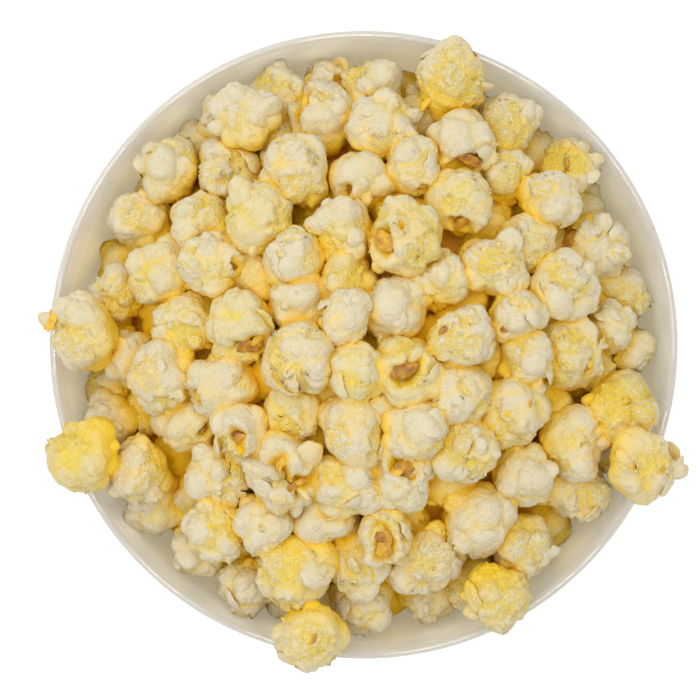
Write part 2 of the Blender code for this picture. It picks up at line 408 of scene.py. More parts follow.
# What single kernels show, by its place in the picture: pixels across and down. The camera
# hangs nearly straight over the bucket.
CAMERA_PLACE = np.array([-7, -10.5, 710]) * MM + np.array([0, 0, BUCKET_HEIGHT])
CAMERA_AIM = np.array([-5.5, -2.35, 0]) * MM + np.array([0, 0, BUCKET_HEIGHT])
CAMERA_LENS = 92.2
CAMERA_SENSOR = 36
PICTURE_SIDE = 700
PIXEL_ON_HEAP = 0.4 * MM


def camera_axes():
    """The camera's right, up and back, with the picture's up along +Y."""
    back = CAMERA_PLACE - CAMERA_AIM
    back /= np.linalg.norm(back)
    up = np.array([0, 1, 0]) - back[1] * back
    up /= np.linalg.norm(up)
    return np.cross(up, back), up, back


def seen_at(across, down):
    """The kernel that the picture shows at this place, and the direction of the place on it."""
    right, up, back = camera_axes()
    pixel = CAMERA_SENSOR / CAMERA_LENS / PICTURE_SIDE
    middle = PICTURE_SIDE / 2
    ray = (across - middle) * pixel * right + (middle - down) * pixel * up - back
    ray /= np.linalg.norm(ray)
    offset = centres - CAMERA_PLACE
    along = offset @ ray
    clear = (offset**2).sum(axis=1) - along**2
    hit = np.where(clear < radii**2, along - np.sqrt(np.maximum(radii**2 - clear, 0)), np.inf)
    if np.isfinite(hit).any():
        kernel = int(np.argmin(hit))
        way = CAMERA_PLACE + hit[kernel] * ray - centres[kernel]
    else:
        kernel = int(np.argmin(np.sqrt(clear) - radii))
        way = CAMERA_PLACE + along[kernel] * ray - centres[kernel]
    return kernel, way / np.linalg.norm(way)


# Clefts, where the hull tore: start and end in the picture, half width and depth (mm)
CLEFTS = (
    (462, 172, 482, 158, 3.6, 5),
    (372, 240, 386, 244, 3.6, 4),
    (228, 356, 262, 346, 3.0, 5),
    (276, 462, 290, 502, 3.6, 6),
    (300, 480, 318, 482, 2.6, 4.5),
    (398, 462, 412, 470, 3.6, 5),
    (560, 240, 574, 228, 3.8, 5),
    (297, 84, 301, 124, 3.2, 5),
    (341, 78, 341, 90, 2.0, 3),
    (236, 436, 240, 448, 2.6, 4),
    (196, 398, 204, 400, 2.4, 4),
    (203, 432, 212, 428, 1.8, 3),
    (614, 452, 636, 466, 1.5, 4),
    (565, 152, 566, 172, 1.2, 2.5),
    (398, 374, 414, 364, 3.4, 5),
    (456, 222, 466, 232, 3.0, 4.5),
    (346, 194, 352, 188, 1.6, 4),
    (422, 194, 425, 188, 1.6, 4),
    (380, 532, 388, 560, 3.6, 6),
    (404, 228, 404, 232, 1.2, 3),
    (232, 262, 240, 268, 2.0, 3),
)

# Honeycombed places, where the skin tore off the foam: place in the picture, half width (mm)
# and the size of the cells, from 0, fine, to 1, coarse
HONEYCOMBS = (
    (298, 194, 8, 0.4), (309, 152, 3, 0.4), (272, 372, 5, 0.5), (308, 332, 2.6, 0.7),
    (300, 392, 6, 0.4), (467, 314, 4, 1), (463, 346, 4.5, 0.7), (458, 446, 7, 1),
    (480, 470, 5, 0.6), (622, 396, 10, 1), (640, 415, 6, 1), (486, 262, 5, 1),
    (512, 258, 5, 1), (341, 437, 4, 0.3), (562, 274, 6, 0.5), (212, 212, 8, 0.5),
    (284, 222, 6, 0.6), (551, 156, 5, 0.9), (578, 163, 5, 0.9), (505, 432, 9, 0.2),
    (545, 188, 5, 0.5), (652, 462, 5, 0.5), (432, 245, 6, 0.6), (455, 78, 11, 0.2),
    (500, 130, 12, 0.2), (562, 368, 5, 0.4), (512, 192, 9, 0.9), (500, 352, 11, 0.9),
    (412, 98, 10, 0.5), (388, 152, 9, 0.15), (240, 158, 5, 0.5), (240, 186, 5, 0.4),
    (180, 336, 4, 0.6), (195, 340, 4, 0.6), (285, 560, 8, 0.5), (330, 470, 5, 0.6),
    (360, 560, 8, 0.5), (495, 590, 11, 0.2), (310, 640, 9, 0.3), (430, 555, 7, 0.3),
    (80, 345, 6, 0.3), (125, 300, 8, 0.3), (560, 540, 5, 0.5), (600, 375, 6, 0.7),
    (620, 250, 5, 0.4), (440, 560, 6, 0.3), (225, 450, 6, 0.4), (280, 500, 4, 0.6),
    (530, 540, 8, 0.4), (150, 470, 6, 0.4), (135, 220, 6, 0.3), (630, 310, 8, 0.4),
    (650, 390, 6, 0.7), (590, 500, 7, 0.4), (555, 400, 5, 0.9), (470, 85, 5, 0.3),
)

# Round holes with a rim: place in the picture, radius (mm)
HOLES = (
    (268, 222, 1.3), (224, 177, 3.0), (220, 108, 1.3), (259, 106, 1.3), (284, 153, 1.2),
    (332, 228, 1.3), (405, 213, 1.8), (292, 405, 1.1), (276, 418, 1.3), (458, 405, 1.6),
    (627, 402, 1.8), (551, 352, 1.4), (605, 365, 1.6), (590, 370, 1.5), (555, 407, 1.6),
    (587, 448, 1.6), (243, 437, 1.8), (198, 400, 1.7), (410, 250, 1.2), (418, 258, 1.1),
    (294, 88, 2.3), (300, 108, 2.4), (440, 400, 1.4), (488, 240, 1.3), (505, 266, 1.2),
    (236, 362, 2.0), (302, 290, 1.6), (275, 286, 2.2), (350, 520, 1.3), (662, 470, 1.6),
)

# Thumb-like lobes that stand out of a kernel: kernel, place right and up of its middle and
# half width as shares of its radius, how many times longer than wide, how flat (1 is round)
LOBES_OUT = (
    (23, -1.12, 0.42, 0.26, 1.2, 0.8), (23, -0.5, 0.7, 0.4, 1.1, 0.8),
    (3, -0.95, -0.3, 0.27, 1.3, 0.9), (3, -0.25, 0.75, 0.44, 1.1, 0.8),
    (3, 0.72, 0.35, 0.55, 1.1, 0.7), (1, -0.9, 0.45, 0.17, 1.5, 0.8),
    (1, -0.98, -0.4, 0.2, 1.8, 0.8), (5, 1.05, 0.35, 0.27, 1.4, 1), (5, 0.5, 0.8, 0.34, 1, 0.8),
    (5, -0.1, 0.9, 0.3, 1, 0.8), (10, 1.02, -0.1, 0.3, 1.4, 0.9), (10, -0.6, 0.3, 0.36, 1.2, 0.7),
    (28, -0.72, -0.8, 0.24, 1.3, 0.9), (28, -0.35, 0.8, 0.3, 1.2, 0.7),
    (31, 0.2, 0.98, 0.32, 1.3, 0.8), (31, 0.8, 0.72, 0.42, 1.1, 0.8), (31, 0.2, 0.6, 0.15, 1, 1),
    (44, -0.8, 0.15, 0.42, 1.1, 0.8), (44, -0.45, 0.75, 0.26, 1.2, 0.9),
    (41, -0.5, 0.72, 0.5, 1.1, 0.8), (37, 0.62, 0.72, 0.3, 1.4, 0.6),
    (40, -0.98, 0.15, 0.18, 2, 0.8), (40, 0.8, -0.1, 0.3, 1.2, 0.7),
    (45, 0.5, 0.72, 0.46, 1.3, 0.45), (53, -0.5, -0.35, 0.38, 1.1, 0.9),
    (53, 0.05, -0.1, 0.36, 1.1, 0.9), (53, 0.75, 0.15, 0.36, 1.4, 0.8),
    (0, 0.97, -0.2, 0.22, 1.3, 0.45), (0, -0.75, -0.65, 0.22, 1.5, 0.45),
    (30, -0.35, -0.85, 0.3, 1.3, 0.5), (30, 0.3, -0.92, 0.24, 1.5, 0.5),
    (30, 0.85, 0.3, 0.3, 1.1, 0.6), (22, -0.3, 0.85, 0.34, 1, 0.8), (27, -0.9, 0.2, 0.3, 1.2, 0.8),
    (25, -0.8, -0.4, 0.32, 1.1, 0.8), (49, -0.6, 0.5, 0.34, 1.4, 0.6),
    (49, 0.4, -0.7, 0.34, 1.3, 0.6), (49, 0.75, 0.3, 0.3, 1.2, 0.7),
    (47, 0.95, 0.2, 0.24, 1.3, 0.5), (47, -0.95, 0.1, 0.28, 1.3, 0.7),
    (11, -0.95, -0.25, 0.3, 1.3, 0.7), (32, -0.2, 0.8, 0.4, 1.1, 0.8),
    (38, 0.55, 0.75, 0.3, 1.3, 0.6), (38, -0.6, 0.55, 0.3, 1.2, 0.7),
    (34, -0.65, 0.1, 0.5, 1.5, 0.5), (34, 0.55, 0.45, 0.45, 1.5, 0.45),
    (34, -0.1, -0.55, 0.4, 1.2, 0.6), (6, 0.1, 0.7, 0.35, 1.2, 0.7),
    (6, 0.5, -0.2, 0.45, 1.1, 0.8), (18, 0.5, 0.7, 0.4, 1.1, 0.8), (20, -0.3, 0.8, 0.4, 1.1, 0.8),
    (36, -0.85, -0.3, 0.36, 1.1, 0.7), (36, 0.7, 0.5, 0.34, 1.2, 0.7),
    (12, -0.6, 0.7, 0.36, 1.2, 0.7), (52, 0.3, 0.8, 0.4, 1.1, 0.8),
    (52, -0.8, 0.1, 0.34, 1.1, 0.8), (50, -0.5, 0.6, 0.36, 1.2, 0.7),
)

# The kernels' forms: a foam that swelled out of the split hull in soft lobes against each other,
# under a thin skin that is smooth, wrinkled or torn off its honeycomb. Each is one closed shell
# with lobes and flaps of skin sunk into it; kernels deeper down are plainer.
KERNEL_FULLNESS = 1.03
CLEFT_OPEN = 1.2
BODY_CORE = 0.84
LOBE_EDGE = 75
PETAL_THICKNESS = 0.24
CLEAR_OF_CLEFT = 0.72
TOWARDS_LIGHT = 0.34
# Depths under the crest, and the sides turned into the heap, where warm shade is painted on the
# kernels
SHADED_DEPTH = (7 * MM, 23 * MM)
UNDERSIDE = (0.5, -0.65)
OUTER_DEPTH = 20 * MM
UNDER_DEPTH = 32 * MM
DEEPEST = 42 * MM
# Faces along each side of the cubes that are rounded to bodies, lobes and flaps
OUTER_CUTS = 18
UNDER_CUTS = 12
DEEP_CUTS = 7
LOBE_CUTS = 6
PUFF_CUTS = 9
PETAL_CUTS = 7
# What stands out of a body or is sunk into it, as shares of its radius
COMB_DEPTH = 0.055
LIP_HEIGHT = 0.03
LIP_PUFFS = 0.085
PUFF_HEIGHT = 0.05
BROAD_HEIGHT = 0.045
WRINKLE_HEIGHT = 0.028
CREASE_DEPTH = 0.045
FINE_HEIGHT = 0.012
HOLE_DEPTH = 0.15
HOLE_RIM = 0.03
CLEFT_RIM = 0.13
FINE_PUFFS = 260
BROAD_PUFFS = 30
# Half widths of lobes, nubs and flaps, as shares of the radius
LOBE_HALF = (0.42, 0.6)
NUB_HALF = (0.2, 0.32)
PETAL_HALF = (0.3, 0.5)
LARGE_LOBE = 0.36
MOST_TRIANGLES = 190000
KERNEL_SEED = 40
LATTICE = np.random.RandomState(5).permutation(256)
SLOPES = np.random.RandomState(6).normal(size=(256, 3))
SLOPES /= np.linalg.norm(SLOPES, axis=1)[:, None]


def wander(place, size, shift):
    """A smooth random field from about -1 to 1, with bumps of this size."""
    spot = place / size + shift
    cell = np.floor(spot).astype(int)
    inner = spot - cell
    ease = inner**3 * (inner * (inner * 6 - 15) + 10)
    total = np.zeros(len(place))
    for step in itertools.product((0, 1), repeat=3):
        near = (cell + step) & 255
        key = LATTICE[(LATTICE[(LATTICE[near[:, 0]] + near[:, 1]) & 255] + near[:, 2]) & 255]
        weight = np.prod(np.where(np.array(step) == 1, ease, 1 - ease), axis=1)
        total += weight * np.einsum("ij,ij->i", SLOPES[key], inner - step)
    return 1.5 * total


def eased(low, high, value):
    """0 below low, 1 above high, and a soft step between them."""
    share = np.clip((value - low) / (high - low), 0, 1)
    return share * share * (3 - 2 * share)


def unit(vectors):
    return vectors / np.linalg.norm(vectors, axis=-1, keepdims=True)


def even_ball(cuts):
    """Directions and faces of an evenly divided ball."""
    form = bmesh.new()
    bmesh.ops.create_cube(form, size=2)
    bmesh.ops.subdivide_edges(form, edges=form.edges, cuts=cuts - 1, use_grid_fill=True)
    ways = unit(np.tan(np.array([vertex.co for vertex in form.verts]) * (math.pi / 4)))
    faces = np.array([[vertex.index for vertex in face.verts] for face in form.faces])
    form.free()
    return ways, faces


def warped(ways, size, amount, shift):
    """The directions, pulled about by a smooth field, so that forms on them lose their rule."""
    pull = np.stack([wander(ways, size, shift + 9.7 * axis) for axis in range(3)], axis=1)
    return unit(ways + amount * pull)


def apart_on(ways, middle):
    """Distance over a unit ball to one direction, as a chord."""
    return np.linalg.norm(ways - middle, axis=1)


def spread_ways(count, draw):
    """Directions that keep about the same distance from each other."""
    ways = unit(draw.normal(size=(count, 3)))
    for _ in range(12):
        gap = ways[:, None] - ways[None]
        push = gap / (np.linalg.norm(gap, axis=2)[..., None] ** 3 + 0.02)
        ways = unit(ways + 0.6 / count * push.sum(axis=1))
    return ways


def swollen(ways, draw):
    """How far the lobes of a body reach in each direction, and where they meet."""
    count = draw.randint(8, 14)
    spread = spread_ways(count, draw)
    far = draw.uniform(0.36, 0.60, count)
    wide = draw.uniform(0.42, 0.56, count)
    along = far * (ways @ spread.T)
    inside = wide**2 - far**2 + along**2
    reach = np.where((along > 0) & (inside > 0), along + np.sqrt(np.maximum(inside, 0)), 0)
    total = np.exp(LOBE_EDGE * BODY_CORE) + np.exp(LOBE_EDGE * reach).sum(axis=1)
    highest = np.sort(np.column_stack([reach, np.full(len(ways), BODY_CORE)]), axis=1)
    meeting = eased(0.08, 0.0, highest[:, -1] - highest[:, -2])
    axis = unit(draw.normal(size=3))
    drawn_out = 1 + draw.uniform(-0.24, 0.24) * ((ways @ axis) ** 2 - 0.33)
    uneven = 1 + 0.13 * wander(ways, 0.9, draw.uniform(-60, 60))
    return np.log(total) / LOBE_EDGE * drawn_out * uneven, meeting


def bubbles(ways, count, draw):
    """Small puffs side by side: 1 on top of each, 0 where they meet."""
    middles = unit(draw.normal(size=(count, 3)))
    nearest = np.sort(((ways[:, None, :] - middles[None]) ** 2).sum(axis=2), axis=1)[:, :2]
    first, second = np.sqrt(nearest[:, 0]), np.sqrt(nearest[:, 1])
    return eased(0, 0.13, second - first)


def segment_distance(ways, start, end):
    """Distance to the straight line between two directions, near the surface."""
    line = end - start
    share = np.clip((ways - start) @ line / (line @ line), 0, 1)
    return np.linalg.norm(ways - start - share[:, None] * line, axis=1)


def combed(ways, radius, honeycombs, edge_noise):
    """Where the skin is torn off the honeycomb, and the lip of skin round such a place."""
    comb, lip = np.zeros(len(ways)), np.zeros(len(ways))
    for middle, half, _ in honeycombs:
        spread = MM * half / radius
        edge = apart_on(ways, middle) / spread + edge_noise / max(spread, 0.3)
        comb = np.maximum(comb, eased(1.06, 0.94, edge))
        lip = np.maximum(lip, np.exp(-(((edge - 1.1) * spread / 0.05) ** 2)))
    return comb, lip


def kernel_body(ways, radius, draw, clefts, honeycombs, holes):
    """Reach of one kernel in each direction, with what its skin shows there and where warm shade is
    painted on it.
    """
    shift = draw.uniform(-60, 60)
    bent = warped(ways, 0.75, 0.24, shift)
    fine = warped(bent, 0.22, 0.06, shift + 31)
    reach, fold = swollen(bent, draw)
    reach *= KERNEL_FULLNESS / np.percentile(reach, 75)
    edge_noise = 0.16 * wander(fine, 0.3, shift + 3) + 0.10 * wander(fine, 0.13, shift + 5)
    comb, lip = combed(fine, radius, honeycombs, edge_noise)
    amber = np.zeros(len(ways))
    skin = 1 - comb
    lumpy = eased(-0.1, 0.35, wander(bent, 0.55, shift + 61) + 0.5 * lip - 0.15)
    puffs = bubbles(warped(fine, 0.12, 0.05, shift + 71), FINE_PUFFS, draw)
    broad = bubbles(fine, BROAD_PUFFS, draw)
    wrinkle = np.maximum(1 - np.abs(wander(fine, 0.3, shift + 11)) * 3, 0)
    crease = np.maximum(1 - np.abs(wander(warped(fine, 0.3, 0.1, shift), 0.5, shift + 17)) * 9, 0)
    reach -= COMB_DEPTH * comb
    reach += lip * (LIP_HEIGHT + LIP_PUFFS * puffs) * (1 - 0.7 * comb)
    reach += lumpy * skin * PUFF_HEIGHT * (puffs - 0.6) + BROAD_HEIGHT * (broad - 0.6)
    reach += WRINKLE_HEIGHT * skin * wrinkle**2 - CREASE_DEPTH * skin * crease
    reach += FINE_HEIGHT * wander(fine, 0.09, shift + 29)
    # Painted warm shade: where lobes meet, in creases, between puffs and beside lips.
    fold = 0.3 * fold + skin * (0.1 * crease + 0.2 * lumpy * (1 - puffs)) + 0.25 * lip * (1 - puffs)
    for middle, size in holes:
        distance = apart_on(fine, middle) * radius / MM / size
        reach -= HOLE_DEPTH * eased(1.0, 0.5, distance) * min(size / 1.6, 1.3)
        reach += HOLE_RIM * np.exp(-(((distance - 1.35) / 0.3) ** 2))
        amber = np.maximum(amber, 0.7 * eased(1.1, 0.6, distance))
    for start, end, half, deep in clefts:
        distance = segment_distance(fine, start, end) * radius / MM / (CLEFT_OPEN * half)
        distance = distance + 0.3 * wander(fine, 0.25, shift + 47)
        reach -= CLEFT_OPEN * deep * MM / radius * eased(1.15, 0.35, distance)
        lips = np.exp(-(((distance - 1.45) / 0.32) ** 2))
        reach += CLEFT_RIM * lips * (0.5 + 0.8 * puffs)
        amber = np.maximum(amber, eased(1.2, 0.8, distance))
    return reach, comb, amber, fold, lip


def lobe_shell(lobe_ball, middle, way, half, longer, flat, draw):
    """Points of one thumb-like lobe, a lumpy ball drawn out and flattened, and shade painted
    between its puffs.
    """
    ways, _ = lobe_ball
    shift = draw.uniform(-60, 60)
    puffs = bubbles(warped(ways, 0.5, 0.15, shift + 3), draw.randint(12, 26), draw)
    size = 0.97 + 0.16 * wander(ways, 0.8, shift) + 0.05 * wander(ways, 0.3, shift + 5)
    size += 0.11 * (puffs - 0.6) + 0.03 * wander(ways, 0.14, shift + 9)
    across = unit(np.cross(way, unit(draw.normal(size=3))))
    thin = np.cross(way, across)
    local = ways * size[:, None] * np.array([longer, 1, flat])
    local[:, 2] += 0.3 * (1 - flat) * local[:, 0] ** 2
    return middle + half * (local @ np.stack([way, across, thin])), 0.2 * (1 - puffs)


def petal_shell(lobe_ball, middle, facing, half, draw):
    """Points of one flap of skin: a thin cupped plate with a scalloped edge, and shade painted on
    its underside.
    """
    ways, _ = lobe_ball
    shift = draw.uniform(-60, 60)
    round_edge = unit(ways * np.array([1, 1, 0]) + np.array([0.001, 0, 0]))
    teeth = 0.10 * wander(round_edge, 0.22, shift) + 0.16 * wander(round_edge, 0.9, shift + 7)
    size = 0.95 + teeth[:, None] * np.array([1, 1, 0])
    local = ways * size * np.array([draw.uniform(1, 1.35), 1, PETAL_THICKNESS])
    spread = local[:, 0] ** 2 + local[:, 1] ** 2
    local[:, 2] += 0.16 * wander(local * np.array([1, 1, 0]), 0.6, shift + 3) - 0.3 * spread
    along = unit(np.cross(facing, unit(draw.normal(size=3))))
    axes = np.stack([along, np.cross(facing, along), facing])
    return middle + half * (local @ axes), 0.5 * eased(0.2, -0.8, ways[:, 2])


def nearness(points, owner):
    """How close the points lie to kernels other than their own, from 0 to 1."""
    gap = np.full(len(points), 1.0)
    for other in np.argsort(np.linalg.norm(centres - centres[owner], axis=1))[1:22]:
        gap = np.minimum(gap, np.linalg.norm(points - centres[other], axis=1) - radii[other])
    return 0.85 * eased(4.5 * MM, -1.5 * MM, gap)


def gathered(features):
    """The features that lie on each kernel, with their places turned into directions on it."""
    found = {}
    for row in features:
        kernel, way = seen_at(row[0], row[1])
        found.setdefault(kernel, []).append((way,) + tuple(row[2:]))
    return found


def cleft_ends():
    """Each cleft on its kernel: where it starts and ends on it, half width and depth."""
    found = {}
    for across, down, across_end, down_end, half, deep in CLEFTS:
        kernel, way = seen_at(0.5 * (across + across_end), 0.5 * (down + down_end))
        right, up, back = camera_axes()
        pixel = PIXEL_ON_HEAP / radii[kernel]
        along = pixel * ((across_end - across) * right - (down_end - down) * up) / 2
        found.setdefault(kernel, []).append((unit(way - along), unit(way + along), half, deep))
    return found


def kernel(index, ball, detailed):
    """Points of one kernel's shells, what its skin shows at each with the painted warm shade, and
    the balls of its lobes.
    """
    centre, radius = centres[index], radii[index]
    draw = np.random.RandomState(KERNEL_SEED + index)
    outwards = unit(centre - np.array([0, 0, BUCKET_HEIGHT - 60 * MM]))
    ways = unit(ball[0] + TOWARDS_LIGHT * outwards)
    combs = list(on_honeycombs.get(index, []))
    holes = list(on_holes.get(index, []))
    for _ in range(draw.randint(1, 4) + (0 if combs else 1)):
        way = unit(draw.normal(size=3) + 0.2 * outwards)
        combs.append((way, draw.uniform(2.5, 6.5), draw.uniform(0.1, 0.9)))
    for _ in range(draw.randint(0, 4)):
        holes.append((unit(draw.normal(size=3) + 0.3 * outwards), draw.uniform(0.8, 1.4)))
    clefts = on_clefts.get(index, [])
    reach, comb, amber, fold, lip = kernel_body(ways, radius, draw, clefts, combs, holes)
    points = [centre + radius * reach[:, None] * ways]
    show = [np.stack([comb, amber, fold, lip], axis=1)]
    rows = []
    for _, across, up, half, longer, flat in (row for row in LOBES_OUT if row[0] == index):
        high = math.sqrt(max(0.05, 0.85 - across**2 - up**2))
        rows.append((np.array([across, up, high]) * 0.88, half, longer, flat))
    petals = []
    if detailed:
        torn = np.array([unit(start + end) for start, end, _, _ in clefts] + [-outwards])
        holed = np.array([way for way, _ in on_holes.get(index, [])] + [-outwards])
        for way in spread_ways(5, draw)[: draw.randint(2, 4)]:
            half = draw.uniform(*LOBE_HALF)
            row = (way * (draw.uniform(0.98, 1.12) - half), half, draw.uniform(1, 1.3), 0.85)
            if (torn @ way).max() < CLEAR_OF_CLEFT:
                rows.append(row)
        for _ in range(draw.randint(1, 4)):
            way = unit(unit(draw.normal(size=3)) - 0.3 * outwards)
            place = way * draw.uniform(0.72, 0.88)
            half = draw.uniform(*NUB_HALF)
            rows.append((place, half, draw.uniform(1, 1.5), draw.uniform(0.6, 0.9)))
        flaps = draw.randint(2, 5) if depths[index] < OUTER_DEPTH else 0
        for _ in range(flaps):
            way = unit(unit(draw.normal(size=3)) + 0.4 * outwards)
            lifted = unit(way + 0.35 * draw.normal(size=3))
            row = (way * draw.uniform(0.88, 0.97), lifted, draw.uniform(*PETAL_HALF))
            if max((torn @ way).max(), (holed @ way).max()) < CLEAR_OF_CLEFT:
                petals.append(row)
    sizes, shells = [], []
    for place, half, longer, flat in rows:
        lobe_ball = puff_ball if half > LARGE_LOBE else small_ball
        middle = centre + radius * place
        shells.append(lobe_shell(lobe_ball, middle, unit(place), half * radius, longer, flat, draw))
        sizes.append(lobe_ball)
    for place, facing, half in petals:
        middle = centre + radius * place
        shells.append(petal_shell(petal_ball, middle, facing, half * radius, draw))
        sizes.append(petal_ball)
    for shell, fold in shells:
        out = np.linalg.norm(shell - centre, axis=1)
        seen, _ = combed((shell - centre) / out[:, None], radius, combs, 0)
        points.append(shell)
        show.append(np.stack([seen, 0 * fold, fold, 0 * fold], axis=1))
        reach = np.append(reach, out / radius)
    points = np.concatenate(points)
    show = np.concatenate(show)
    # Painted warm shade deeper under the crest, close to other kernels and on the side turned into
    # the heap.
    sunk = crest(np.linalg.norm(points[:, :2], axis=1)) + BUCKET_HEIGHT - points[:, 2]
    painted_deep_shade = np.maximum(nearness(points, index), eased(*SHADED_DEPTH, sunk))
    under = eased(*UNDERSIDE, unit(points - centre) @ outwards)
    painted_deep_shade = 1 - (1 - painted_deep_shade) * (1 - 0.9 * under)
    show[:, 2] = np.maximum(show[:, 2], painted_deep_shade)
    # Tone: a random yellowness for each kernel, and more yellow in the body's recesses, which is
    # painted warm shade.
    tones_and_shade = 0.6 * draw.uniform(0, 1) ** 2 + 0.6 * eased(1.0, 0.84, reach)
    coarse = np.full(len(points), np.mean([row[2] for row in combs[:2]]))
    return points, np.column_stack([show, tones_and_shade, coarse]), sizes


# Per point: honeycomb, amber, painted warm shade, lip, tone with painted shade in recesses, and
# cell size
SHOWN = ("comb", "amber", "fold", "lip", "tone", "coarse")


def joined(name, numbers, ball, detailed, material):
    """Kernels as one mesh, with what their skins show and their painted warm shade as attributes of
    its points.
    """
    points, shows, faces = [], [], []
    first = 0
    for index in numbers:
        place, show, lobes = kernel(index, ball, detailed)
        points.append(place)
        shows.append(show)
        faces.append(ball[1] + first)
        first += len(ball[0])
        for lobe_ball in lobes:
            faces.append(lobe_ball[1] + first)
            first += len(lobe_ball[0])
    points, shows, faces = map(np.concatenate, (points, shows, faces))
    mesh = bpy.data.meshes.new(name)
    mesh.vertices.add(len(points))
    mesh.vertices.foreach_set("co", points.astype(np.float32).ravel())
    mesh.loops.add(faces.size)
    mesh.loops.foreach_set("vertex_index", faces.astype(np.int32).ravel())
    mesh.polygons.add(len(faces))
    mesh.polygons.foreach_set("loop_start", np.arange(0, faces.size, 4, dtype=np.int32))
    mesh.update(calc_edges=True)
    mesh.shade_smooth()
    for column, what in enumerate(SHOWN):
        kept = mesh.attributes.new(what, "FLOAT", "POINT")
        kept.data.foreach_set("value", shows[:, column].astype(np.float32))
    mesh.materials.append(material)
    made = bpy.data.objects.new(name, mesh)
    bpy.context.scene.collection.objects.link(made)
    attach(made, "root")
    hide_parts("popcorn_heap")
    return made


popped, place = surface("popped_corn", {"Specular IOR Level": 0.12})
comb, amber, fold, lip, tone, coarse = (
    place.node("ShaderNodeAttribute", {"attribute_name": what}, {}, "Fac") for what in SHOWN
)
mottle = place.node("ShaderNodeTexNoise", {}, {"Vector": place, "Scale": 160, "Detail": 3})
swirl = place.node("ShaderNodeTexNoise", {}, {"Vector": place, "Scale": 380, "Detail": 2}, "Color")
wrinkle = place.node("ShaderNodeSeparateColor", {}, {0: swirl}, 0)
grain = place.node("ShaderNodeTexNoise", {}, {"Vector": place, "Scale": 1500, "Detail": 2})
crooked = place.moved(swirl, 0.8 * MM)
cells_to_metre = coarse * -360 + 860
sized = place.node(
    "ShaderNodeVectorMath", {"operation": "SCALE"}, {0: crooked, "Scale": cells_to_metre}
)
cell = place.node(
    "ShaderNodeTexVoronoi", {"feature": "F1"},
    {"Vector": sized, "Scale": 1, "Randomness": 0.9}, "Distance",
)
open_share = cell.node("ShaderNodeSeparateColor", {}, {0: cell.other("Color")}, 0)
walls = cell.node(
    "ShaderNodeTexVoronoi", {"feature": "DISTANCE_TO_EDGE"},
    {"Vector": sized, "Scale": 1, "Randomness": 0.9}, "Distance",
)
dots = (open_share * 0.3 + 0.33 - cell).eased(-0.1, 0.14)
windows = (walls - open_share * 0.08).eased(0.03, 0.13)
pit = (dots + coarse.eased(0.55, 0.9) * (windows - dots)) * comb
ridge = 1 - abs(wrinkle - 0.5) * 7
# Yellower where the tone is: at random for each kernel, and in recesses as painted warm shade.
warmth = (tone * 0.8 + (mottle - 0.5) * 0.5 + comb * 0.12).eased(0.05, 1)
skin = warmth.blend((0.78, 0.70, 0.495, 1), (0.83, 0.665, 0.18, 1))
skin = (pit * (coarse * 0.35 + 0.55)).blend(skin, (0.88, 0.63, 0.08, 1))
# Painted warm shade: saturated orange in creases, between lobes and kernels, deeper in the heap and
# on undersides.
skin = fold.blend(skin, (1.0, 0.67, 0.02, 1))
stain = (amber * (mottle + 0.4)).eased(0.25, 0.9)
skin = stain.blend(skin, (0.90, 0.55, 0.015, 1))
ridges = ridge.eased(0, 1) * (mottle.eased(0.35, 0.6) * 0.22)
relief = grain * 0.14 + ridges - pit * 0.22 + mottle * 0.3 - lip * cell * 0.25
dents = place.node("ShaderNodeBump", {}, {"Strength": 1, "Distance": 1 * MM, "Height": relief})
dryness = 0.62 - amber * 0.25 + (grain - 0.5) * 0.2
finish(popped, {"Base Color": skin, "Roughness": dryness, "Normal": dents})

on_clefts = cleft_ends()
on_honeycombs = gathered(HONEYCOMBS)
on_holes = gathered(HOLES)
small_ball, puff_ball, petal_ball = map(even_ball, (LOBE_CUTS, PUFF_CUTS, PETAL_CUTS))
order = np.argsort(depths)
tiers = (
    ("kernels_outer", 0, OUTER_DEPTH, OUTER_CUTS, True),
    ("kernels_under", OUTER_DEPTH, UNDER_DEPTH, UNDER_CUTS, True),
    ("kernels_deep", UNDER_DEPTH, DEEPEST, DEEP_CUTS, False),
)
for name, least, most, cuts, detailed in tiers:
    ball = even_ball(cuts)
    numbers = [i for i in order if least <= max(depths[i], 0) < most]
    lobes = 6 * (len(puff_ball[1]) + len(small_ball[1]) + len(petal_ball[1])) if detailed else 0
    at_once = int(MOST_TRIANGLES / (2 * len(ball[1]) + lobes))
    for part in range(0, len(numbers), at_once):
        label = f"{name}_{part // at_once + 1}"
        joined(label, numbers[part : part + at_once], ball, detailed, popped)

# The hulls: the thin brown shell of the grain, torn open when it popped. Shards of it stay in
# the clefts, glossy and amber where light comes through.
HULL_CUTS = 7
HULL_THICKNESS = 0.5 * MM
HULL_BOW = 0.8 * MM
HULL_WAVE = 0.5 * MM
HULL_IN_CLEFT = 1.2 * MM
HULL_SPREAD = 1.2
HULL_LIFT = 0.47
HULL_SEED = 900
